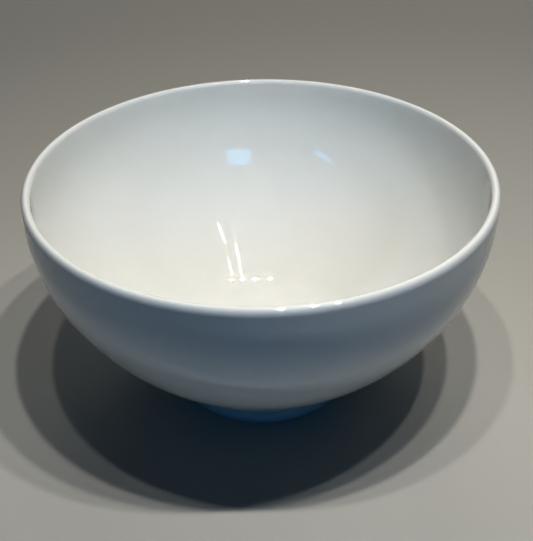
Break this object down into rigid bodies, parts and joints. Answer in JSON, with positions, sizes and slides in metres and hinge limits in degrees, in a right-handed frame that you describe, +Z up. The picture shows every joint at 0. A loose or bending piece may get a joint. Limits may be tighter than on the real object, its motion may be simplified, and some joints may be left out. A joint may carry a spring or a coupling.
{
  "type": "serving bowl",
  "caption": "Large round serving bowl of white glazed porcelain: upright rim, sides curving in to a small foot ring, open at the top for salad, fruit or rice.",
  "frame": {"origin": "centre of the foot ring's contact face, on the bowl's axis", "axes": "+Z up along the bowl's axis, out of the mouth; +X and +Y across the mouth, alike because the bowl is round"},
  "size_m": [0.28, 0.28, 0.148],
  "materials": {
    "biscuit": "fired, unglazed, matt",
    "slip": "fired, unglazed, matt",
    "glaze": "clear glaze over white porcelain, high gloss"
  },
  "bodies": {
    "root": {"bowl_body": "biscuit", "foot_ring": "biscuit", "slip_joint": "slip", "inner_glaze": "glaze", "outer_glaze": "glaze", "base_glaze": "glaze"}
  },
  "joints": []
}
